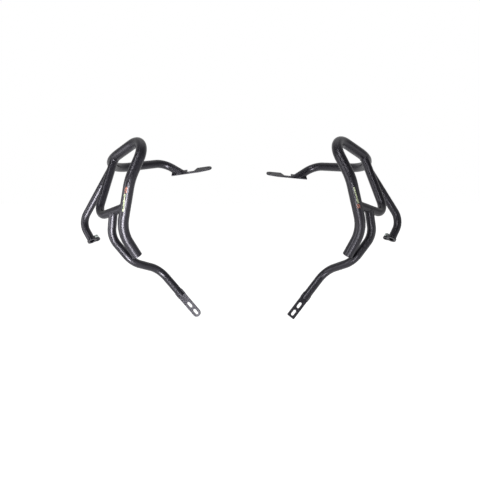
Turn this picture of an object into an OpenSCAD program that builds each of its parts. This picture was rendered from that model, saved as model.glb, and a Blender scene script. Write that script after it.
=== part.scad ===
// A pair of bent-tube motorcycle crash bars, left and right, side by side.
// Each bar is a main tube, a loop tube, a lower arm and a rear arm, welded together,
// with a strap bracket, a slotted bracket and a bolted foot where it meets the motorcycle.
// X runs across the pair, Y from front to back, Z up. The origin is the middle of the pair.

/* [Tubes] */
// Outside diameter of the main tube
main_od = 27; // [24:0.5:30]
// Outside diameter of the loop tube, the lower arm and the rear arm
arm_od = 22; // [19:0.5:24]
// Wall of every tube
tube_wall = 2; // [1.5:0.1:3]
// Gap left for the weld where a tube end is coped round another tube
weld_gap = 0.15; // [0.1:0.05:0.4]

/* [Bends] */
// Radius of the two tight bends of the main tube, at its middle line
main_bend = 50; // [44:1:54]
// Radius of the three wide bends of the main tube, at its middle line
wide_bend = 99; // [90:1:104]
// Radius of the tight corner of the loop tube
loop_bend = 32; // [28:1:38]
// Radius of the bends in the lower arm
arm_bend = 56; // [46:1:60]
// Radius of the bend in the rear arm
rear_arm_bend = 48; // [40:1:54]

/* [Joints between tubes] */
// Where the loop tube meets the front of the main tube, as a share of that straight run
loop_low_share = 0.48; // [0.4:0.01:0.55]
// Where the loop tube meets the rear bend of the main tube, as a share of that bend
loop_top_share = 0.13; // [0.1:0.01:0.2]
// Where the lower arm meets the bottom of the loop tube, as a share of that straight run
lower_arm_share = 0.6; // [0.56:0.01:0.64]
// Where the rear arm meets the rear bend of the main tube, as a share of that bend
rear_arm_share = 0.54; // [0.45:0.01:0.65]
// Thickness of the disc welded into the lower end of the main tube
end_disc_t = 3; // [2:0.5:5]
// Clearance round the disc
end_disc_gap = 0.1; // [0.05:0.05:0.3]

/* [Strap bracket] */
// Thickness of the strap
strap_t = 4; // [3:0.5:6]
// Width of the strap under the tube
strap_w = 28; // [26:1:34]
// Length of the strap behind the middle of the tube end
strap_back = 27; // [22:1:32]
// Distance from the middle of the tube end to the start of the neck
strap_neck_at = 26; // [22:1:32]
// Width of the neck
strap_neck_w = 11; // [9:1:15]
// Distance from the middle of the tube end to the start of the head
strap_head_at = 49; // [42:1:54]
// Width of the head
strap_head_w = 31; // [29:1:34]
// Distance from the middle of the tube end to the bolt hole
strap_hole_at = 97; // [90:1:105]
// Diameter of the bolt hole
strap_hole_d = 8.5; // [6.5:0.5:10.5]
// Radius of the rounded tip round the bolt hole
strap_tip_r = 13; // [10:0.5:14]
// Rise of the strap towards its tip, in degrees
strap_rise = 8; // [4:1:12]
// Sideways tilt of the strap, in degrees
strap_tilt = 25; // [20:1:28]

/* [Slotted bracket] */
// Thickness of the slotted plate
slot_plate_t = 4.5; // [3:0.5:6]
// Width of the slotted plate
slot_plate_w = 23; // [20:0.5:25]
// Depth of the plate in the slit of the tube end
slot_plate_in = 16; // [10:1:20]
// Clearance between the plate and the slit
slit_gap = 0.15; // [0.1:0.05:0.3]
// Width of a slot
slot_w = 9; // [6.5:0.5:11]
// Length of a slot over its round ends
slot_len = 18; // [14:0.5:20]
// Distance between the middles of the two slots
slot_pitch = 25.5; // [23:0.5:28]
// Distance from the left tube end to the middle of its first slot
left_slot_at = 33; // [24:1:38]
// Distance from the right tube end to the middle of its first slot
right_slot_at = 22; // [16:1:28]
// Distance from the middle of the last slot to the end of the plate
slot_plate_end = 15; // [13:0.5:18]
// Chamfer at the corners of the right plate
slot_plate_chamfer = 2; // [1:0.5:4]

/* [Rear foot] */
// Thickness of the foot plate
foot_t = 5; // [4:0.5:8]
// Width of the foot plate
foot_w = 26; // [24:0.5:28]
// Distance from the tube to the bolt hole in the foot plate
foot_reach = 18; // [18:0.5:24]
// Radius of the foot plate round its bolt hole
foot_tip_r = 8; // [7.5:0.5:11]
// Diameter of the bolt hole
foot_hole_d = 8.5; // [6.5:0.5:9]
// Diameter of the opening in the foot plate under the tube
foot_drain_d = 14; // [8:0.5:16]
// Width of the nut across its flats
nut_flats = 12; // [10:0.5:13]
// Height of the nut
nut_h = 11; // [6:0.5:13]
// Bore of the nut
nut_bore = 6.8; // [5:0.1:7.4]
// Clearance between the nut and the foot plate
nut_gap = 0.05; // [0.02:0.01:0.1]

/* [Pair] */
// Extra distance of each bar from the middle of the pair
spread = 0; // [0:5:60]
// Tip of the right bar about the X axis as it stands in the pair, in degrees
right_tip = -2.4; // [-5:0.1:5]
// Lean of the right bar about the Y axis as it stands in the pair, in degrees
right_lean = -2.7; // [-5:0.1:5]
// Turn of the right bar about the Z axis as it stands in the pair, in degrees
right_turn = 0.9; // [-5:0.1:5]

/* [Hidden] */
$fn = 64;

// Overrun of the cutting solids past the faces that they cut
over = 1;
// Amount by which a bend laps its straight runs along the tube, and stands proud of them
lap = 0.3;
proud = 0.02;
// Size of the block that trims the upper end of the main tube to the strap
trim_size = 80;
// How far the main tube runs past the strap before it is trimmed
trim_run = 25;
// Place of the right bar against the mirror image of the left one
right_shift = [4, -15, -15];
// Shift that brings the middle of the pair to the origin
centring = [0, 8, 0];
coat = [0.09, 0.09, 0.1];
zinc = [0.66, 0.68, 0.64];

// Corners of the middle line of the left main tube: lower end, two gentle bends up the front,
// top bend, rear bend, bend of the upper arm, and the middle of its end on the strap
main_route = [
    [-269, -164, -60], [-300, -185, 8], [-271, -190, 138], [-225, -143, 259],
    [-417, -20, 160], [-260, 183, 187], [-205, 173, 156]
];
main_bends = [wide_bend, wide_bend, main_bend, wide_bend, main_bend];
// Corner of the left loop tube
loop_corner = [-386, -120, 35];
// Corners of the left lower arm and the middle of its end. The arm passes just behind the lower
// end of the main tube, at a distance that follows both diameters.
arm_behind = main_od / 2 + arm_od / 2;
lower_route = [
    [-336.4, -181.4 + arm_behind, -11.8], [-284.4, -181.4 + arm_behind, -78.8],
    [-228, -92, -114.4], [-162.5, -111, -186.5]
];
// Corner of the left rear arm and the middle of its end
rear_route = [[-473.5, -5.5, 7], [-439, -30, -41]];

function unit(v) = v / norm(v);
function between(p, q, share) = p + (q - p) * share;
function turn_at(a, b, c) = acos(unit(b - a) * unit(c - b));
function setback(a, b, c, r) = r * tan(turn_at(a, b, c) / 2);

// Point on the middle line of the bend at b, at a share of its turn
function on_bend(a, b, c, r, share) =
    let (
        along = unit(b - a),
        inward = unit(unit(c - b) - along * (unit(c - b) * along)),
        swing = turn_at(a, b, c) * share,
        start = b - along * setback(a, b, c, r)
    )
    start + inward * r * (1 - cos(swing)) + along * r * sin(swing);
function on_rear_bend(share) =
    on_bend(main_route[3], main_route[4], main_route[5], main_bends[3], share);

loop_low = between(main_route[1], main_route[2], loop_low_share);
loop_top = on_rear_bend(loop_top_share);
loop_route = [loop_top, loop_corner, loop_low];
lower_top = between(loop_corner, loop_low, lower_arm_share);
arm_route = concat([lower_top], lower_route);
rear_top = on_rear_bend(rear_arm_share);
back_route = concat([rear_top], rear_route);

slot_axis = unit(lower_route[3] - lower_route[2]);
foot_axis = unit(rear_route[1] - rear_route[0]);

// Section of a tube, or of a solid bar where the wall is zero
module section(od, wall) {
    difference() {
        circle(d = od);
        if (wall > 0) circle(d = od - 2 * wall);
    }
}

// Straight run of tube from p to q
module run(p, q, od, wall) {
    d = q - p;
    translate(p)
        rotate([0, acos(d[2] / norm(d)), atan2(d[1], d[0])])
            linear_extrude(norm(d)) section(od, wall);
}

// Round bend at the corner b between a and c
module bend(a, b, c, r, od, wall) {
    along = unit(b - a);
    inward = unit(unit(c - b) - along * (unit(c - b) * along));
    axis = cross(along, inward);
    centre = b - along * setback(a, b, c, r) + inward * r;
    lap_turn = lap / r * 180 / PI;
    multmatrix([
        [-inward[0], along[0], axis[0], centre[0]],
        [-inward[1], along[1], axis[1], centre[1]],
        [-inward[2], along[2], axis[2], centre[2]],
        [0, 0, 0, 1]
    ])
        rotate([0, 0, -lap_turn])
            rotate_extrude(angle = turn_at(a, b, c) + 2 * lap_turn)
                translate([r, 0]) section(od + 2 * proud, wall > 0 ? wall + 2 * proud : 0);
}

// Start of the straight run that leaves corner i, and the end of the run that reaches it
function run_start(pts, radii, i) =
    i == 0 ? pts[0]
    : pts[i] + unit(pts[i + 1] - pts[i]) * setback(pts[i - 1], pts[i], pts[i + 1], radii[i - 1]);
function run_end(pts, radii, i) =
    i == len(pts) - 1 ? pts[i]
    : pts[i] - unit(pts[i] - pts[i - 1]) * setback(pts[i - 1], pts[i], pts[i + 1], radii[i - 1]);

// Tube bent at the corners of a route, between run number first and run number last
module bent_tube(pts, radii, od, wall, first = 0, last = -1) {
    stop = last < 0 ? len(pts) - 2 : last;
    for (i = [first:stop]) {
        run(run_start(pts, radii, i), run_end(pts, radii, i + 1), od, wall);
        if (i < stop) bend(pts[i], pts[i + 1], pts[i + 2], radii[i], od, wall);
    }
}

// Solid form of the rear bend of the main tube, to cope the tubes that meet it
module rear_bend_form() {
    bend(main_route[3], main_route[4], main_route[5], main_bends[3], main_od + 2 * weld_gap, 0);
}

// Turns the Z axis of a child to a direction and its X axis as near as it can to another
module facing(z_dir, x_near) {
    z = unit(z_dir);
    x = unit(x_near - z * (x_near * z));
    y = cross(z, x);
    multmatrix([[x[0], y[0], z[0], 0], [x[1], y[1], z[1], 0], [x[2], y[2], z[2], 0], [0, 0, 0, 1]])
        children();
}

// Frame of the strap: top face at Z zero, X along the strap, at the end of the main tube
module at_strap() {
    translate(main_route[6]) rotate([strap_tilt, -strap_rise, 0]) children();
}

// Frame of the slotted plate: Z along the tube, Y across the thickness of the plate
module at_slot_end() {
    translate(lower_route[3]) facing(slot_axis, [slot_axis[2], 0, -slot_axis[0]]) children();
}

// Frame of the foot: Z against the tube, X towards the bolt hole, inwards and to the back
module at_foot() {
    translate(rear_route[1]) facing(-foot_axis, [1, 1, 0]) children();
}

module main_tube() {
    last = main_route[6];
    before = main_route[5];
    route = [for (i = [0:5]) main_route[i]];
    long_route = concat(route, [last + unit(last - before) * trim_run]);
    color(coat)
        difference() {
            bent_tube(long_route, main_bends, main_od, tube_wall);
            at_strap() translate([-trim_size / 2, -trim_size / 2, -trim_size]) cube(trim_size);
            bent_tube(arm_route, [arm_bend, arm_bend, arm_bend], arm_od + 2 * weld_gap, 0, 1, 2);
        }
}

module end_disc() {
    inward = unit(main_route[1] - main_route[0]);
    color(coat)
        run(main_route[0], main_route[0] + inward * end_disc_t,
            main_od - 2 * tube_wall - 2 * end_disc_gap, 0);
}

module loop_tube() {
    color(coat)
        difference() {
            bent_tube(loop_route, [loop_bend], arm_od, tube_wall);
            bent_tube(main_route, main_bends, main_od + 2 * weld_gap, 0, 1, 1);
            rear_bend_form();
        }
}

module lower_arm() {
    slit = slot_plate_t + 2 * slit_gap;
    color(coat)
        difference() {
            bent_tube(arm_route, [arm_bend, arm_bend, arm_bend], arm_od, tube_wall);
            bent_tube(loop_route, [loop_bend], arm_od + 2 * weld_gap, 0, 1, 1);
            at_slot_end()
                translate([-slot_plate_w, -slit / 2, -slot_plate_in - slit_gap])
                    cube([2 * slot_plate_w, slit, slot_plate_in + slit_gap + over]);
        }
}

module rear_arm() {
    color(coat)
        difference() {
            bent_tube(back_route, [rear_arm_bend], arm_od, tube_wall);
            rear_bend_form();
        }
}

// Outline of the strap, with its near edge straight and its head to the far side
module strap_outline() {
    near = -strap_w / 2;
    tip = [strap_hole_at, near + strap_head_w - strap_tip_r];
    knee = [strap_hole_at - 2 * strap_tip_r, near];
    reach = norm(tip - knee);
    swing = atan2(tip[1] - knee[1], tip[0] - knee[0]) - asin(strap_tip_r / reach);
    touch = knee + sqrt(reach * reach - strap_tip_r * strap_tip_r) * [cos(swing), sin(swing)];
    translate([-strap_back, near]) square([strap_back + strap_neck_at, strap_w]);
    translate([0, near]) square([strap_hole_at - 2 * strap_tip_r, strap_neck_w]);
    polygon([
        [strap_head_at, near],
        knee,
        touch,
        tip,
        [tip[0], near + strap_head_w],
        [strap_head_at + strap_neck_w, near + strap_head_w],
        [strap_head_at, near + strap_neck_w]
    ]);
    translate(tip) circle(r = strap_tip_r);
}

module strap_bracket() {
    near = -strap_w / 2;
    color(coat)
        at_strap()
            difference() {
                translate([0, 0, -strap_t]) linear_extrude(strap_t) strap_outline();
                translate([strap_hole_at, near + strap_head_w - strap_tip_r, -strap_t - over])
                    cylinder(h = strap_t + 2 * over, d = strap_hole_d);
            }
}

module slot_cut(at) {
    half = (slot_len - slot_w) / 2;
    translate([0, at - half]) circle(d = slot_w);
    translate([0, at + half]) circle(d = slot_w);
    translate([-slot_w / 2, at - half]) square([slot_w, 2 * half]);
}

// Slotted plate with its first slot at a distance from the tube end, round or square at its end
module slot_plate(first_at, round_end) {
    length = first_at + slot_pitch + slot_plate_end;
    half = slot_plate_w / 2;
    corner = slot_plate_chamfer;
    color(coat)
        at_slot_end()
            rotate([90, 0, 0])
                translate([0, 0, -slot_plate_t / 2])
                    linear_extrude(slot_plate_t)
                        difference() {
                            if (round_end) {
                                translate([-half, -slot_plate_in])
                                    square([slot_plate_w, slot_plate_in + length - half]);
                                translate([0, length - half]) circle(r = half);
                            } else {
                                polygon([
                                    [-half, -slot_plate_in], [half, -slot_plate_in],
                                    [half, length - corner], [half - corner, length],
                                    [corner - half, length], [-half, length - corner]
                                ]);
                            }
                            slot_cut(first_at);
                            slot_cut(first_at + slot_pitch);
                        }
}

module foot_plate() {
    color(coat)
        at_foot()
            translate([0, 0, -foot_t])
                difference() {
                    linear_extrude(foot_t) {
                        circle(d = foot_w);
                        translate([0, -foot_tip_r]) square([foot_reach, 2 * foot_tip_r]);
                        translate([foot_reach, 0]) circle(r = foot_tip_r);
                    }
                    translate([foot_reach, 0, -over]) cylinder(h = foot_t + 2 * over, d = foot_hole_d);
                    translate([0, 0, -over]) cylinder(h = foot_t + 2 * over, d = foot_drain_d);
                }
}

module foot_nut() {
    color(zinc)
        at_foot()
            translate([foot_reach, 0, nut_gap])
                difference() {
                    rotate([0, 0, 30]) cylinder(h = nut_h, d = nut_flats / cos(30), $fn = 6);
                    translate([0, 0, -over]) cylinder(h = nut_h + 2 * over, d = nut_bore);
                }
}

// Places a piece of the left bar, or of its mirror image on the right
module on_left() { translate(centring - [spread, 0, 0]) children(); }
module on_right() {
    translate(centring + right_shift + [spread, 0, 0])
        rotate([right_tip, right_lean, right_turn])
            mirror([1, 0, 0]) children();
}

on_left() main_tube();  // left_main_tube
on_left() end_disc();  // left_end_disc
on_left() loop_tube();  // left_loop_tube
on_left() lower_arm();  // left_lower_arm
on_left() rear_arm();  // left_rear_arm
on_left() strap_bracket();  // left_strap_bracket
on_left() slot_plate(left_slot_at, true);  // left_slot_bracket
on_left() foot_plate();  // left_foot_plate
on_left() foot_nut();  // left_foot_nut
on_right() main_tube();  // right_main_tube
on_right() end_disc();  // right_end_disc
on_right() loop_tube();  // right_loop_tube
on_right() lower_arm();  // right_lower_arm
on_right() rear_arm();  // right_rear_arm
on_right() strap_bracket();  // right_strap_bracket
on_right() slot_plate(right_slot_at, false);  // right_slot_bracket
on_right() foot_plate();  // right_foot_plate
on_right() foot_nut();  // right_foot_nut
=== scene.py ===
"""Looks of a pair of black powder-coated motorcycle crash bars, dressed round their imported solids."""

import logging
import math
from dataclasses import dataclass, field
from enum import Enum

import bmesh
import bpy
from mathutils import Matrix, Vector
from mathutils.bvhtree import BVHTree


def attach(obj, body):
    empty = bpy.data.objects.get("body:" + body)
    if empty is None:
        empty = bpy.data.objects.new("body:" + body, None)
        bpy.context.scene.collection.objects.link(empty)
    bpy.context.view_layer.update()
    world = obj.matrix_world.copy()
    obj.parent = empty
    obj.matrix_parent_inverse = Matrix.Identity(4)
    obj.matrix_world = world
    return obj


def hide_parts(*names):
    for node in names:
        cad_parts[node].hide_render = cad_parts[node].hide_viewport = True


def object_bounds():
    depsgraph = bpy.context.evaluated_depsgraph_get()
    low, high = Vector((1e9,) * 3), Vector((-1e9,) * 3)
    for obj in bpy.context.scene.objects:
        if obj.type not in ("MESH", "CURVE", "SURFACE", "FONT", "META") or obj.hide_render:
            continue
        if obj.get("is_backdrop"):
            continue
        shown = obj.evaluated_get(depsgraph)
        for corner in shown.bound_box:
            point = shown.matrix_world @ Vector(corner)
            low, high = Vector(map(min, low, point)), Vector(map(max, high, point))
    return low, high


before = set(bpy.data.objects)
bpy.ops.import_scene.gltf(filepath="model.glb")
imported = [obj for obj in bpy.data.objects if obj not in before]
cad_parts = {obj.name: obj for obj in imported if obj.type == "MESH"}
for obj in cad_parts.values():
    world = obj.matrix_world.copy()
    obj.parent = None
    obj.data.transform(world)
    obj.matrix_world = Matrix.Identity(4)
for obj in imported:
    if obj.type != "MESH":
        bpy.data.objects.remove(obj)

LOG = logging.getLogger("crash_bars")
MM = 0.001
BODY = "root"
NOISE_MIDDLE = (0.3, 0.7)
BLEND_MIDDLE = (0.35, 0.65)
BEAD_FOLD = 1.2


class Side(Enum):
    """The two bars of the pair, by the first word of their nodes' names."""

    LEFT = "left"
    RIGHT = "right"


class Slot(Enum):
    """Names for the two finishes."""

    COAT = "coat"
    ZINC = "zinc"


@dataclass(frozen=True)
class SoftBox:
    """A rectangular studio light: its place and aim in metres, its size, its power and its beam."""

    name: str
    place: tuple
    width: float
    height: float
    watts: float
    aim: tuple = (0.0, 0.0, 0.0)
    beam: float = 180.0

    def build(self) -> None:
        """Put the light in the scene."""
        data = bpy.data.lights.new(self.name, "AREA")
        data.shape = "RECTANGLE"
        data.size = self.width
        data.size_y = self.height
        data.energy = self.watts
        data.spread = math.radians(self.beam)
        light = bpy.data.objects.new(self.name, data)
        light.location = self.place
        facing = Vector(self.aim) - Vector(self.place)
        light.rotation_euler = facing.to_track_quat("-Z", "Y").to_euler()
        bpy.context.scene.collection.objects.link(light)


SOFT_BOXES = (
    SoftBox("low_front", (-0.20, -1.60, -0.52), 0.50, 0.95, 9.8, (-0.30, -0.10, -0.08), 50.0),
    SoftBox("upper_left", (-0.65, -1.60, 1.30), 1.1, 1.1, 2.2, (0.24, -0.12, -0.20), 26.0),
    SoftBox("side_left", (-1.70, -0.80, 0.0), 0.6, 1.2, 17.0),
    SoftBox("side_right", (1.70, -0.80, 0.1), 0.6, 1.2, 3.5),
    SoftBox("top", (0.0, 0.3, 2.2), 2.0, 1.5, 8.0),
)


class Graph:
    """Small helper that builds one material's node tree."""

    def __init__(self, name: str) -> None:
        """Start a tree that ends in a Principled shader.

        Args:
            name: name of the new material.
        """
        self.material = bpy.data.materials.new(name)
        self.material.use_nodes = True
        self.tree = self.material.node_tree
        self.shader = self.tree.nodes["Principled BSDF"]
        self.place = self.tree.nodes.new("ShaderNodeTexCoord").outputs["Object"]

    def noise(self, scale: float, detail: float, roughness: float = 0.5) -> bpy.types.NodeSocket:
        """Add a noise pattern on the object's own coordinates.

        Args:
            scale: cells of the pattern per metre.
            detail: octaves of finer pattern.
            roughness: share that each finer octave keeps.

        Returns:
            The socket that gives the pattern, from 0 to 1.
        """
        node = self.tree.nodes.new("ShaderNodeTexNoise")
        node.inputs["Scale"].default_value = scale
        node.inputs["Detail"].default_value = detail
        node.inputs["Roughness"].default_value = roughness
        self.tree.links.new(self.place, node.inputs["Vector"])
        return node.outputs["Fac"]

    def spread(self, source: bpy.types.NodeSocket, low: float, high: float) -> bpy.types.NodeSocket:
        """Map the middle of a noise pattern to a range of values.

        Args:
            source: socket of the pattern.
            low: value in the pattern's hollows.
            high: value on its crests.

        Returns:
            The mapped socket.
        """
        node = self.tree.nodes.new("ShaderNodeMapRange")
        node.inputs["From Min"].default_value = NOISE_MIDDLE[0]
        node.inputs["From Max"].default_value = NOISE_MIDDLE[1]
        node.inputs["To Min"].default_value = low
        node.inputs["To Max"].default_value = high
        self.tree.links.new(source, node.inputs["Value"])
        return node.outputs["Result"]

    def blend(self, source: bpy.types.NodeSocket, first: tuple, second: tuple) -> bpy.types.NodeSocket:
        """Blend two colours by a pattern.

        Args:
            source: socket of the pattern.
            first: colour in the pattern's hollows.
            second: colour on its crests.

        Returns:
            The socket of the blended colour.
        """
        node = self.tree.nodes.new("ShaderNodeValToRGB")
        for stop, position, color in zip(node.color_ramp.elements, BLEND_MIDDLE, (first, second)):
            stop.position = position
            stop.color = (*color, 1.0)
        self.tree.links.new(source, node.inputs["Fac"])
        return node.outputs["Color"]

    def bump(self, source: bpy.types.NodeSocket, depth: float) -> bpy.types.NodeSocket:
        """Raise the surface by a pattern.

        Args:
            source: socket of the pattern.
            depth: height of the pattern in metres.

        Returns:
            The socket of the new normal.
        """
        node = self.tree.nodes.new("ShaderNodeBump")
        node.inputs["Strength"].default_value = 1.0
        node.inputs["Distance"].default_value = depth
        self.tree.links.new(source, node.inputs["Height"])
        return node.outputs["Normal"]

    def feed(self, socket: bpy.types.NodeSocket, name: str) -> None:
        """Link a socket to the shader's input of that name."""
        self.tree.links.new(socket, self.shader.inputs[name])

    def hold(self, name: str, value: object) -> None:
        """Set the shader's own value of that name."""
        self.shader.inputs[name].default_value = value


@dataclass(frozen=True)
class PowderCoat:
    """Black powder coat with a faint orange peel and a satin sheen."""

    name: str = "black_powder_coat"
    hollow: tuple = (0.0022, 0.0021, 0.0032)
    crest: tuple = (0.0036, 0.0034, 0.0050)
    tint: tuple = (0.92, 0.89, 1.0)
    gloss: tuple = (0.36, 0.39)
    peel_cells: float = 420.0
    peel_depth: float = 0.0025 * MM

    def build(self) -> bpy.types.Material:
        """Build the material and return it."""
        graph = Graph(self.name)
        cloud = graph.noise(48.0, 3.0)
        graph.feed(graph.blend(cloud, self.hollow, self.crest), "Base Color")
        graph.feed(graph.spread(graph.noise(150.0, 2.0), *self.gloss), "Roughness")
        graph.feed(graph.bump(graph.noise(self.peel_cells, 1.0), self.peel_depth), "Normal")
        graph.hold("IOR", 1.42)
        graph.hold("Specular Tint", (*self.tint, 1.0))
        return graph.material


@dataclass(frozen=True)
class ZincPlate:
    """Bright zinc plating with a faint yellow-green cast and a dull mottle."""

    name: str = "zinc_plate"
    dull: tuple = (0.28, 0.31, 0.30)
    bright: tuple = (0.46, 0.50, 0.48)

    def build(self) -> bpy.types.Material:
        """Build the material and return it."""
        graph = Graph(self.name)
        mottle = graph.noise(260.0, 4.0, 0.6)
        graph.feed(graph.blend(mottle, self.dull, self.bright), "Base Color")
        graph.feed(graph.spread(graph.noise(420.0, 3.0), 0.28, 0.46), "Roughness")
        graph.feed(graph.bump(graph.noise(900.0, 3.0), 0.03 * MM), "Normal")
        graph.hold("Metallic", 1.0)
        return graph.material


@dataclass(frozen=True)
class Film:
    """Printed vinyl film: a dark and a light tone in a fine mottle, under a soft gloss."""

    name: str
    deep: tuple
    light: tuple

    def build(self) -> bpy.types.Material:
        """Build the material and return it."""
        graph = Graph(self.name)
        graph.feed(graph.blend(graph.noise(420.0, 2.0), self.deep, self.light), "Base Color")
        graph.feed(graph.spread(graph.noise(300.0, 2.0), 0.30, 0.42), "Roughness")
        graph.feed(graph.bump(graph.noise(500.0, 2.0), 0.01 * MM), "Normal")
        return graph.material


def merged(obj: bpy.types.Object) -> bmesh.types.BMesh:
    """Copy an object's mesh and join its loose triangles.

    Args:
        obj: the object whose mesh is copied.

    Returns:
        A new bmesh that the caller frees.
    """
    bm = bmesh.new()
    bm.from_mesh(obj.data)
    bmesh.ops.remove_doubles(bm, verts=bm.verts, dist=1e-6)
    bmesh.ops.dissolve_degenerate(bm, edges=bm.edges, dist=1e-7)
    return bm


def finished(bm: bmesh.types.BMesh, name: str, finish: bpy.types.Material) -> bpy.types.Object:
    """Turn a bmesh into a piece that rides on the part.

    Args:
        bm: the mesh in the row frame, which is freed.
        name: name of the new piece.
        finish: its material.

    Returns:
        The new object.
    """
    mesh = bpy.data.meshes.new(name)
    bm.to_mesh(mesh)
    bm.free()
    piece = bpy.data.objects.new(name, mesh)
    bpy.context.scene.collection.objects.link(piece)
    mesh.materials.append(finish)
    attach(piece, BODY)
    LOG.info("%s: %d faces", name, len(mesh.polygons))
    return piece


def smooth(piece: bpy.types.Object, angle: float) -> None:
    """Shade a piece smooth, apart from edges sharper than an angle in radians."""
    mesh = piece.data
    mesh.shade_smooth()
    mesh.set_sharp_from_angle(angle=angle)


@dataclass(frozen=True)
class RoundShading:
    """Shading normals of a tube, averaged evenly round each vertex so that thin facets don't show."""

    reach: float = 3.2 * MM
    samples: int = 12
    keep: float = 0.80

    def apply(self, piece: bpy.types.Object) -> None:
        """Store the normals on a piece's mesh.

        Args:
            piece: the tube to shade.
        """
        mesh = piece.data
        mesh.shade_smooth()
        bm = bmesh.new()
        bm.from_mesh(mesh)
        tree = BVHTree.FromBMesh(bm)
        bm.free()
        found: dict[int, list[Vector]] = {}
        normals = []
        for face in mesh.polygons:
            facing = face.normal.copy()
            for index in face.vertices:
                known = found.setdefault(index, [])
                match = next((n for n in known if n.dot(facing) > self.keep), None)
                if match is None:
                    match = self._average(tree, mesh.vertices[index].co, facing)
                    known.append(match)
                normals.append(match)
        mesh.normals_split_custom_set(normals)

    def _average(self, tree: BVHTree, place: Vector, facing: Vector) -> Vector:
        """Average the facets at even steps round a place, twice, leaving out those past a fold.

        Args:
            tree: search tree of the tube's mesh.
            place: the vertex.
            facing: normal of a facet at the vertex.

        Returns:
            The unit normal.
        """
        normal = facing
        for _ in range(2):
            side = normal.orthogonal().normalized()
            other = normal.cross(side)
            total = Vector()
            for number in range(self.samples):
                angle = 2 * math.pi * number / self.samples
                offset = (side * math.cos(angle) + other * math.sin(angle)) * self.reach
                near = tree.find_nearest(place + offset)[1]
                if near.dot(normal) > self.keep:
                    total += near
            if total.length < self.keep:
                return facing
            normal = total.normalized()
        return normal


@dataclass(frozen=True)
class FlatShading:
    """Shading normals of a plate: its flat faces stay flat, and its rounded edges turn between them."""

    keep: float = 0.35

    def apply(self, piece: bpy.types.Object) -> None:
        """Store the normals on a piece's mesh.

        Args:
            piece: the plate to shade.
        """
        mesh = piece.data
        mesh.shade_smooth()
        around: dict[int, list[bpy.types.MeshPolygon]] = {}
        for face in mesh.polygons:
            for index in face.vertices:
                around.setdefault(index, []).append(face)
        normals = []
        for face in mesh.polygons:
            for index in face.vertices:
                like = [other for other in around[index] if other.normal.dot(face.normal) > self.keep]
                normals.append(max(like, key=lambda other: other.area).normal.copy())
        mesh.normals_split_custom_set(normals)


@dataclass
class Corner:
    """One point of a corner line between two solids, with both surfaces' outward directions."""

    place: Vector
    side: Vector
    base: Vector


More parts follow.
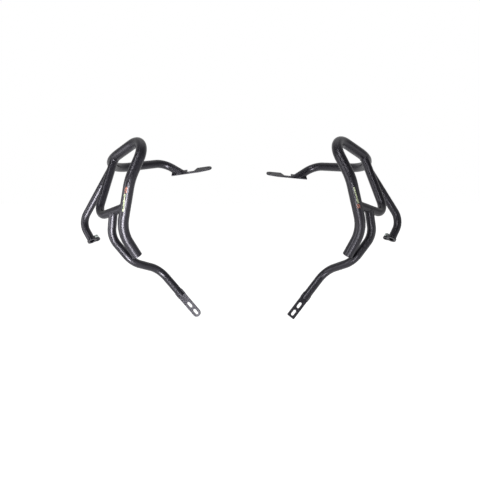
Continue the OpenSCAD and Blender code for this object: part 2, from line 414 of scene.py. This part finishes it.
@dataclass
class Seam:
    """Finds the corner lines where the rim of one solid meets another solid."""

    rim: bpy.types.Object
    base: bpy.types.Object
    near: float = 0.5 * MM
    fold: float = 0.30
    bore: float = 28.0 * MM
    shortest: float = 9.0 * MM
    step: float = 0.45 * MM
    clear: float = 0.2 * MM
    fewest: int = 8
    passes: int = 4

    def chains(self) -> list[tuple[list[Corner], bool]]:
        """Collect every outer corner line.

        Returns:
            Pairs of the line's evenly spaced corners and whether it is closed.
        """
        bm = merged(self.rim)
        bm.normal_update()
        base_bm = merged(self.base)
        base_tree = BVHTree.FromBMesh(base_bm)
        own_tree = BVHTree.FromBMesh(bm)
        corners: dict[int, Corner] = {}
        links: dict[int, list[int]] = {}
        for edge in bm.edges:
            if len(edge.link_faces) != 2 or edge.calc_face_angle(0.0) < self.fold:
                continue
            middle = (edge.verts[0].co + edge.verts[1].co) / 2
            hits = [base_tree.find_nearest(v.co, self.near) for v in edge.verts]
            if any(hit[0] is None for hit in hits):
                continue
            away = base_tree.find_nearest(middle)[1]
            flank = max(edge.link_faces, key=lambda face: face.normal.dot(away)).normal
            if own_tree.ray_cast(middle + flank * self.clear, flank, self.bore)[0] is not None:
                continue
            first, second = (v.index for v in edge.verts)
            for vert in edge.verts:
                found = corners.get(vert.index)
                if found is None:
                    corners[vert.index] = Corner(vert.co.copy(), flank.copy(), away.copy())
                else:
                    found.side += flank
                    found.base += away
            links.setdefault(first, []).append(second)
            links.setdefault(second, []).append(first)
        lines = self._walk(links)
        result = []
        for line, closed in lines:
            points = [corners[i] for i in line]
            evened = self._evened(points, closed)
            if evened:
                result.append((evened, closed))
        bm.free()
        base_bm.free()
        return result

    @staticmethod
    def _walk(links: dict[int, list[int]]) -> list[tuple[list[int], bool]]:
        """Order linked points into lines.

        Args:
            links: the neighbours of each point.

        Returns:
            Pairs of ordered point numbers and whether the line is closed.
        """
        left = set(links)
        lines = []
        starts = sorted(left, key=lambda i: (len(links[i]) != 1, i))
        for start in starts:
            if start not in left:
                continue
            line = [start]
            left.discard(start)
            while True:
                onward = [i for i in links[line[-1]] if i in left]
                if not onward:
                    break
                line.append(min(onward))
                left.discard(line[-1])
            closed = len(line) > 3 and start in links[line[-1]]
            lines.append((line, closed))
        return lines

    def _evened(self, points: list[Corner], closed: bool) -> list[Corner]:
        """Space a line's corners evenly and smooth out the facets.

        Args:
            points: the line's own points.
            closed: whether the last point joins the first.

        Returns:
            The new corners, or an empty list where the line is too short.
        """
        ring = points + points[:1] if closed else points
        lengths = [0.0]
        for one, two in zip(ring, ring[1:]):
            lengths.append(lengths[-1] + (two.place - one.place).length)
        total = lengths[-1]
        if total < self.shortest:
            return []
        count = max(self.fewest, round(total / self.step))
        stops = count if closed else count + 1
        evened = []
        index = 0
        for number in range(stops):
            reach = total * number / count
            while index < len(lengths) - 2 and lengths[index + 1] < reach:
                index += 1
            span = max(lengths[index + 1] - lengths[index], 1e-9)
            share = min(1.0, (reach - lengths[index]) / span)
            one, two = ring[index], ring[index + 1]
            evened.append(Corner(
                one.place.lerp(two.place, share),
                one.side.normalized().lerp(two.side.normalized(), share),
                one.base.normalized().lerp(two.base.normalized(), share),
            ))
        for _ in range(self.passes):
            evened = self._relaxed(evened, closed)
        return evened

    @staticmethod
    def _relaxed(corners: list[Corner], closed: bool) -> list[Corner]:
        """Average each corner with its two neighbours, and keep the ends of an open line."""
        size = len(corners)
        relaxed = []
        for i, corner in enumerate(corners):
            if not closed and i in (0, size - 1):
                relaxed.append(corner)
                continue
            before, after = corners[i - 1], corners[(i + 1) % size]
            relaxed.append(Corner(
                (before.place + corner.place * 2 + after.place) / 4,
                (before.side + corner.side * 2 + after.side) / 4,
                (before.base + corner.base * 2 + after.base) / 4,
            ))
        return relaxed


@dataclass
class Valley:
    """Finds the two valleys beside the place where one tube lies along another."""

    first: bpy.types.Object
    second: bpy.types.Object
    aside: float = 4.6 * MM
    reach: float = 11.0 * MM
    step: float = 0.45 * MM
    widest: float = 2.2 * MM
    straight: float = 0.9
    fewest: int = 8
    settle: int = 3
    ways: int = 36

    def chains(self) -> list[tuple[list[Corner], bool]]:
        """Collect the two lines, one on each side of the nearest place.

        Returns:
            Pairs of the line's evenly spaced corners and False, as both lines are open.
        """
        meshes = [merged(self.first), merged(self.second)]
        trees = [BVHTree.FromBMesh(bm) for bm in meshes]
        one, two = self._nearest(meshes[0], trees[1])
        for bm in meshes:
            bm.free()
        middle = (one + two) / 2
        across = self._across(trees, middle, (two - one).normalized())
        lines = []
        for sign in (-1.0, 1.0):
            start = middle + across * sign * self.aside
            back = self._march(trees, start, -1.0)
            ahead = self._march(trees, start, 1.0)
            line = back[::-1] + ahead[1:]
            if len(line) > self.fewest:
                lines.append((line, False))
        return lines

    @staticmethod
    def _nearest(bm: bmesh.types.BMesh, tree: BVHTree) -> tuple[Vector, Vector]:
        """Find the two places, one on each tube, that lie closest together.

        Args:
            bm: mesh of the first tube.
            tree: search tree of the second tube.

        Returns:
            The place on the first tube and the place on the second.
        """
        best = None
        for vert in bm.verts:
            place, _, _, distance = tree.find_nearest(vert.co)
            if best is None or distance < best[0]:
                best = (distance, vert.co.copy(), place.copy())
        return best[1], best[2]

    def _across(self, trees: list[BVHTree], middle: Vector, between: Vector) -> Vector:
        """Find the direction in which the two tubes part fastest.

        Args:
            trees: search trees of the two tubes.
            middle: the middle between their nearest places.
            between: unit vector from one nearest place to the other.

        Returns:
            A unit vector at right angles to the last one.
        """
        side = between.orthogonal().normalized()
        other = between.cross(side)
        best = (-1.0, side)
        for number in range(self.ways):
            angle = math.pi * number / self.ways
            way = side * math.cos(angle) + other * math.sin(angle)
            places = [middle + way * sign * self.aside for sign in (-1.0, 1.0)]
            parted = min(sum(tree.find_nearest(place)[3] for tree in trees) for place in places)
            best = max(best, (parted, way), key=lambda entry: entry[0])
        return best[1]

    def _march(self, trees: list[BVHTree], start: Vector, sign: float) -> list[Corner]:
        """Step along a valley until it widens, a tube ends or the reach is used up.

        Args:
            trees: search trees of the two tubes.
            start: a place in the valley.
            sign: which way to go.

        Returns:
            The corners passed, the start first.
        """
        place = start.copy()
        heading = None
        line = []
        for _ in range(int(self.reach / self.step)):
            for _ in range(self.settle):
                hits = [tree.find_nearest(place) for tree in trees]
                lean = (hits[0][3] - hits[1][3]) / 2
                place = place + (hits[1][1] - hits[0][1]).normalized() * lean
            sides = [hit[1] for hit in hits]
            ahead = sides[0].cross(sides[1]).normalized() * sign
            if heading is not None and ahead.dot(heading) < self.straight:
                break
            if hits[0][3] > self.widest:
                break
            heading = ahead
            line.append(Corner(place.copy(), sides[0].copy(), sides[1].copy()))
            place = place + ahead * self.step
        return line


@dataclass
class WeldBead:
    """A convex weld bead of overlapping ripples, laid in the corner between two solids."""

    radius: float = 2.9 * MM
    ripple_pitch: float = 2.7 * MM
    ripple_share: float = 0.085
    ripple_mean: float = 0.6
    bow: float = 0.8 * MM
    sink: float = 0.30
    sink_more: float = 0.35
    tip: float = 0.1 * MM
    facets: int = 14

    def lay(self, bm: bmesh.types.BMesh, corners: list[Corner], closed: bool) -> None:
        """Lay the bead along a corner line.

        Args:
            bm: mesh that receives the bead.
            corners: evenly spaced corners of the line.
            closed: whether the last corner joins the first.
        """
        size = len(corners)
        step = (corners[1].place - corners[0].place).length
        turns = max(1, round(size * step / self.ripple_pitch))
        rings = []
        for i, corner in enumerate(corners):
            before = corners[i - 1] if closed or i else corner
            after = corners[(i + 1) % size] if closed or i < size - 1 else corner
            ahead = (after.place - before.place).normalized()
            out = corner.side.normalized() + corner.base.normalized()
            out = (out - ahead * out.dot(ahead)).normalized()
            phase = (i * turns / size) % 1.0
            swell = 1.0 + self.ripple_share * (math.sin(math.pi * phase) - self.ripple_mean)
            taper = 1.0
            if not closed:
                from_end = min(i, size - 1 - i) * step
                taper = min(1.0, math.sqrt((from_end + self.tip) / self.radius))
            radius = self.radius * swell * taper
            alike = max(0.0, corner.side.normalized().dot(corner.base.normalized()))
            sink = self.sink + self.sink_more * alike
            across = out.cross(ahead)
            turn = Matrix((out, across, ahead)).transposed().to_4x4()
            place = Matrix.Translation(corner.place - out * self.radius * sink) @ turn
            ring = bmesh.ops.create_circle(bm, segments=self.facets, radius=radius, matrix=place)["verts"]
            for vert in ring:
                lift = (vert.co - corner.place).dot(out) / self.radius
                vert.co += ahead * self.bow * max(0.0, lift) * taper
            rings.append(ring)
        self._skin(bm, rings, closed)

    @staticmethod
    def _skin(bm: bmesh.types.BMesh, rings: list, closed: bool) -> None:
        """Bridge each ring to the next, and cap the two ends of an open bead."""
        loops = []
        for ring in rings:
            members = set(ring)
            touching = {edge for vert in ring for edge in vert.link_edges}
            loops.append([edge for edge in touching if members.issuperset(edge.verts)])
        pairs = list(zip(loops, loops[1:]))
        if closed:
            pairs.append((loops[-1], loops[0]))
        for one, two in pairs:
            bmesh.ops.bridge_loops(bm, edges=one + two)
        if not closed:
            for loop in (loops[0], loops[-1]):
                bmesh.ops.contextual_create(bm, geom=loop)


@dataclass
class PlateEdge:
    """The small round that a thick coat leaves along a cut plate's edges."""

    width: float = 0.7 * MM
    segments: int = 3
    fold: float = 0.5
    flat: float = 0.01

    def rounded(self, node: str, finish: bpy.types.Material, slot: Slot) -> bpy.types.Object:
        """Stand a round-edged copy in for a node.

        Args:
            node: the node that the copy replaces.
            finish: its material.
            slot: not used.

        Returns:
            The new piece.
        """
        bm = merged(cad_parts[node])
        bmesh.ops.dissolve_limit(bm, angle_limit=self.flat, verts=bm.verts, edges=bm.edges)
        sharp = [e for e in bm.edges if len(e.link_faces) == 2 and e.calc_face_angle(0.0) > self.fold]
        bmesh.ops.bevel(
            bm, geom=sharp, offset=self.width, offset_type="OFFSET", segments=self.segments,
            affect="EDGES", profile=0.5, material=-1, clamp_overlap=True,
        )
        piece = finished(bm, node + "_coated", finish)
        FlatShading().apply(piece)
        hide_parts(node)
        return piece


@dataclass
class Decal:
    """A plain strip of film on the front of a main tube, laid where the photograph shows it.

    The start and the end are in pixels of the photograph, and so is the width.
    """

    name: str
    start: tuple
    end: tuple
    width: float
    depth: float = 0.02 * MM
    thickness: float = 0.04 * MM
    fold: float = 0.8
    rows: int = 24
    columns: int = 8

    def lay(self, tube: str, eye: "Eye", finish: bpy.types.Material) -> bpy.types.Object:
        """Wrap the strip on a tube.

        Args:
            tube: node of the main tube.
            eye: the camera's place and lens, which turns pixels into sight lines.
            finish: material of the film.

        Returns:
            The new piece.
        """
        bm = bmesh.new()
        bmesh.ops.create_grid(bm, x_segments=self.columns, y_segments=self.rows, size=0.5)
        source = merged(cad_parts[tube])
        tree = BVHTree.FromBMesh(source)
        start, end = Vector(self.start), Vector(self.end)
        along = end - start
        across = Vector((along.y, -along.x)).normalized() * self.width
        for vert in bm.verts:
            pixel = start + along * (vert.co.y + 0.5) + across * vert.co.x
            place, normal, _, _ = tree.ray_cast(eye.place, eye.sight(pixel))
            vert.co = place - normal * self.depth
        source.free()
        walls = bmesh.ops.extrude_face_region(bm, geom=bm.faces[:])
        for vert in (v for v in walls["geom"] if isinstance(v, bmesh.types.BMVert)):
            vert.co += (eye.place - vert.co).normalized() * self.thickness
        bmesh.ops.recalc_face_normals(bm, faces=bm.faces)
        piece = finished(bm, self.name, finish)
        smooth(piece, self.fold)
        return piece


@dataclass(frozen=True)
class Eye:
    """The photograph's viewpoint: a lens in millimetres on a 36 mm sensor, level across, tipped down."""

    place: Vector = field(default_factory=lambda: Vector((0.0, -1.1286, 0.1538)))
    lens: float = 28.5
    sensor: float = 36.0
    tip: float = math.radians(80.0)
    frame_px: float = 480.0

    def sight(self, pixel: Vector) -> Vector:
        """Direction of the sight line through a pixel of the 480 by 480 frame.

        Args:
            pixel: column and row.

        Returns:
            A unit vector in the row frame.
        """
        focal = self.lens / self.sensor * self.frame_px
        right = (pixel.x - self.frame_px / 2) / focal
        down = (pixel.y - self.frame_px / 2) / focal
        local = Vector((right, -down, -1.0))
        return (Matrix.Rotation(self.tip, 3, "X") @ local).normalized()

    def build(self) -> None:
        """Put the camera in the scene."""
        data = bpy.data.cameras.new("photo_view")
        data.lens = self.lens
        data.sensor_width = self.sensor
        data.clip_start = 0.05
        data.clip_end = 60.0
        camera = bpy.data.objects.new("photo_view", data)
        camera.location = self.place
        camera.rotation_euler = (self.tip, 0.0, 0.0)
        bpy.context.scene.collection.objects.link(camera)
        bpy.context.scene.camera = camera


@dataclass
class Bar:
    """One crash bar of the pair."""

    side: Side
    coat: bpy.types.Material
    zinc: bpy.types.Material
    bead: WeldBead = field(default_factory=WeldBead)
    small_bead: WeldBead = field(default_factory=lambda: WeldBead(radius=2.0 * MM, ripple_pitch=2.1 * MM))
    edge: PlateEdge = field(default_factory=PlateEdge)

    def node(self, part: str) -> str:
        """Name of this bar's node for a part."""
        return f"{self.side.value}_{part}"

    def build(self) -> None:
        """Dress the tubes, the brackets and the joints between them."""
        self.coat_tubes()
        self.round_brackets()
        self.weld_tubes()
        self.weld_brackets()

    def coat_tubes(self) -> None:
        """Give the tubes their powder coat, smooth over their bends."""
        for part in ("main_tube", "loop_tube", "lower_arm", "rear_arm", "end_disc"):
            node = self.node(part)
            bm = merged(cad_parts[node])
            piece = finished(bm, node + "_coated", self.coat)
            RoundShading().apply(piece)
            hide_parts(node)

    def round_brackets(self) -> None:
        """Round the edges of the cut plates and of the nut."""
        for part in ("strap_bracket", "slot_bracket", "foot_plate"):
            self.edge.rounded(self.node(part), self.coat, Slot.COAT)
        nut_edge = PlateEdge(width=0.5 * MM, segments=2)
        nut_edge.rounded(self.node("foot_nut"), self.zinc, Slot.ZINC)

    def weld(self, name: str, rim: str, base: str, bead: WeldBead, beside: bool = False) -> None:
        """Lay a bead along every corner line between two parts of the bar.

        Args:
            name: last words of the bead's name.
            rim: part whose rim is welded.
            base: part that the rim is welded to.
            bead: the bead to lay.
            beside: whether the two tubes lie side by side instead of rim on surface.
        """
        finder = Valley if beside else Seam
        seam = finder(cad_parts[self.node(rim)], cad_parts[self.node(base)])
        bm = bmesh.new()
        lines = seam.chains()
        for corners, closed in lines:
            bead.lay(bm, corners, closed)
        if not bm.faces:
            LOG.warning("%s: no corner line between %s and %s", name, rim, base)
            bm.free()
            return
        bmesh.ops.recalc_face_normals(bm, faces=bm.faces)
        LOG.info("%s: %d lines", name, len(lines))
        piece = finished(bm, self.node(name), self.coat)
        smooth(piece, BEAD_FOLD)

    def weld_tubes(self) -> None:
        """Weld the tubes to each other."""
        self.weld("loop_weld", "loop_tube", "main_tube", self.bead)
        self.weld("lower_arm_weld", "lower_arm", "loop_tube", self.bead)
        self.weld("rear_arm_weld", "rear_arm", "main_tube", self.bead)
        self.weld("main_end_weld", "main_tube", "lower_arm", self.bead, beside=True)

    def weld_brackets(self) -> None:
        """Weld the brackets to the ends of the tubes."""
        self.weld("strap_weld", "main_tube", "strap_bracket", self.bead)
        self.weld("slot_weld", "lower_arm", "slot_bracket", self.small_bead)
        self.weld("foot_weld", "rear_arm", "foot_plate", self.small_bead)


@dataclass
class Studio:
    """A white floor, a surround that is white behind the bars and greyer in front, and soft boxes."""

    floor_drop: float = 1.0
    floor_size: float = 16.0
    floor_glow: float = 0.67
    floor_shade: float = 0.93
    fade: tuple = (-0.1, 0.78)
    front_strength: float = 0.20

    def build(self) -> None:
        """Set up the floor, the lights and the tone of the picture."""
        self._world()
        self._floor()
        for box in SOFT_BOXES:
            box.build()
        view = bpy.context.scene.view_settings
        view.view_transform = "Standard"
        view.look = "None"

    def _world(self) -> None:
        """Surround the bars with white behind them that fades to a light grey in front."""
        world = bpy.data.worlds.new("white_surround")
        world.use_nodes = True
        tree = world.node_tree
        shade = tree.nodes["Background"]
        shade.inputs["Color"].default_value = (1.0, 1.0, 1.0, 1.0)
        split = tree.nodes.new("ShaderNodeSeparateXYZ")
        fade = tree.nodes.new("ShaderNodeMapRange")
        fade.inputs["From Min"].default_value = self.fade[0]
        fade.inputs["From Max"].default_value = self.fade[1]
        fade.inputs["To Min"].default_value = self.front_strength
        fade.inputs["To Max"].default_value = 1.0
        direction = tree.nodes.new("ShaderNodeTexCoord").outputs["Generated"]
        tree.links.new(direction, split.inputs["Vector"])
        tree.links.new(split.outputs["Y"], fade.inputs["Value"])
        tree.links.new(fade.outputs["Result"], shade.inputs["Strength"])
        bpy.context.scene.world = world

    def _floor(self) -> None:
        """Lay the white floor well under the bars."""
        low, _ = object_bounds()
        bm = bmesh.new()
        place = Matrix.Translation((0.0, 0.0, low.z - self.floor_drop))
        bmesh.ops.create_grid(bm, x_segments=1, y_segments=1, size=self.floor_size, matrix=place)
        mesh = bpy.data.meshes.new("floor")
        bm.to_mesh(mesh)
        bm.free()
        floor = bpy.data.objects.new("floor", mesh)
        bpy.context.scene.collection.objects.link(floor)
        graph = Graph("pale_floor")
        graph.hold("Base Color", (*[self.floor_shade] * 3, 1.0))
        graph.hold("Roughness", 0.9)
        graph.hold("Emission Color", (1.0, 1.0, 1.0, 1.0))
        graph.hold("Emission Strength", self.floor_glow)
        mesh.materials.append(graph.material)
        floor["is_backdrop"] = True


def main() -> None:
    """Build the camera, the studio and both bars, and lay the decals."""
    logging.basicConfig(level=logging.INFO, format="%(message)s")
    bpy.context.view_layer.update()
    eye = Eye()
    eye.build()
    Studio().build()
    coat = PowderCoat().build()
    zinc = ZincPlate().build()
    for side in Side:
        Bar(side, coat, zinc).build()
    orange = Film("orange_film", (0.03, 0.015, 0.015), (0.24, 0.08, 0.05)).build()
    pale = Film("pale_film", (0.05, 0.06, 0.035), (0.27, 0.30, 0.19)).build()
    Decal("left_decal_block", (126.2, 187.6), (125.6, 192.8), 2.4).lay("left_main_tube", eye, orange)
    Decal("left_decal_stripe", (124.9, 193.9), (123.1, 211.4), 1.7).lay("left_main_tube", eye, pale)
    Decal("right_decal_stripe", (353.9, 187.2), (358.3, 203.2), 1.7).lay("right_main_tube", eye, pale)
    Decal("right_decal_block", (358.0, 204.2), (358.8, 208.2), 3.0).lay("right_main_tube", eye, orange)


if __name__ == "__main__":
    main()
